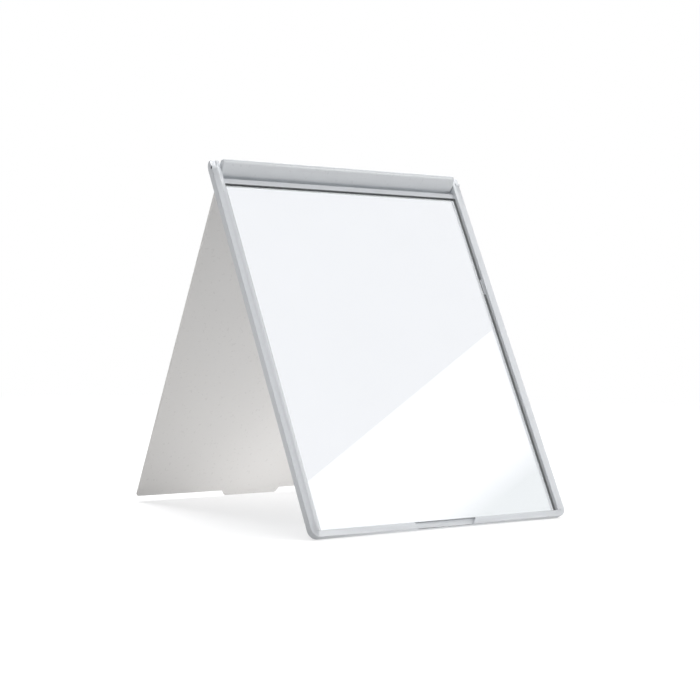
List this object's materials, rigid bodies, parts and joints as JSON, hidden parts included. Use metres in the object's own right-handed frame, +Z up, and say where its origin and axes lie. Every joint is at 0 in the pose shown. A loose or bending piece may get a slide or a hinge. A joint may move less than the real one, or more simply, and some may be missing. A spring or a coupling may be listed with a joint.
{
  "type": "folding mirror",
  "caption": "Rectangular mirror in a thin moulded tray, with a hinged cover that closes over the glass or swings over the top to stand behind it as a leg.",
  "frame": {"origin": "centre of the footprint on the surface the mirror stands on", "axes": "+X across the mirror along the hinge axis, to the right seen from the mirror side; -Y out of the mirror side; +Z up"},
  "size_m": [0.125, 0.1392, 0.1405],
  "materials": {
    "tray_plastic": "satin pale grey moulding",
    "cover_plastic": "satin pale grey moulding",
    "mirror_glass": "polished, silvered at the back",
    "foam_tape": "matt double-sided foam tape",
    "pin_steel": "plain drawn steel"
  },
  "bodies": {
    "mirror_body": {"frame_tray": "tray_plastic", "mirror_glass": "mirror_glass", "glass_tape_1": "foam_tape", "glass_tape_2": "foam_tape", "glass_tape_3": "foam_tape", "hinge_pin_left": "pin_steel", "hinge_pin_right": "pin_steel"},
    "cover_body": {"cover_panel": "cover_plastic"}
  },
  "joints": [
    {"name": "cover_swing", "type": "hinge", "parent": "mirror_body", "child": "cover_body", "pos_m": [0, 0.00142, 0.13695], "axis": [1, 0, 0], "range_deg": [0, 306.1]}
  ]
}
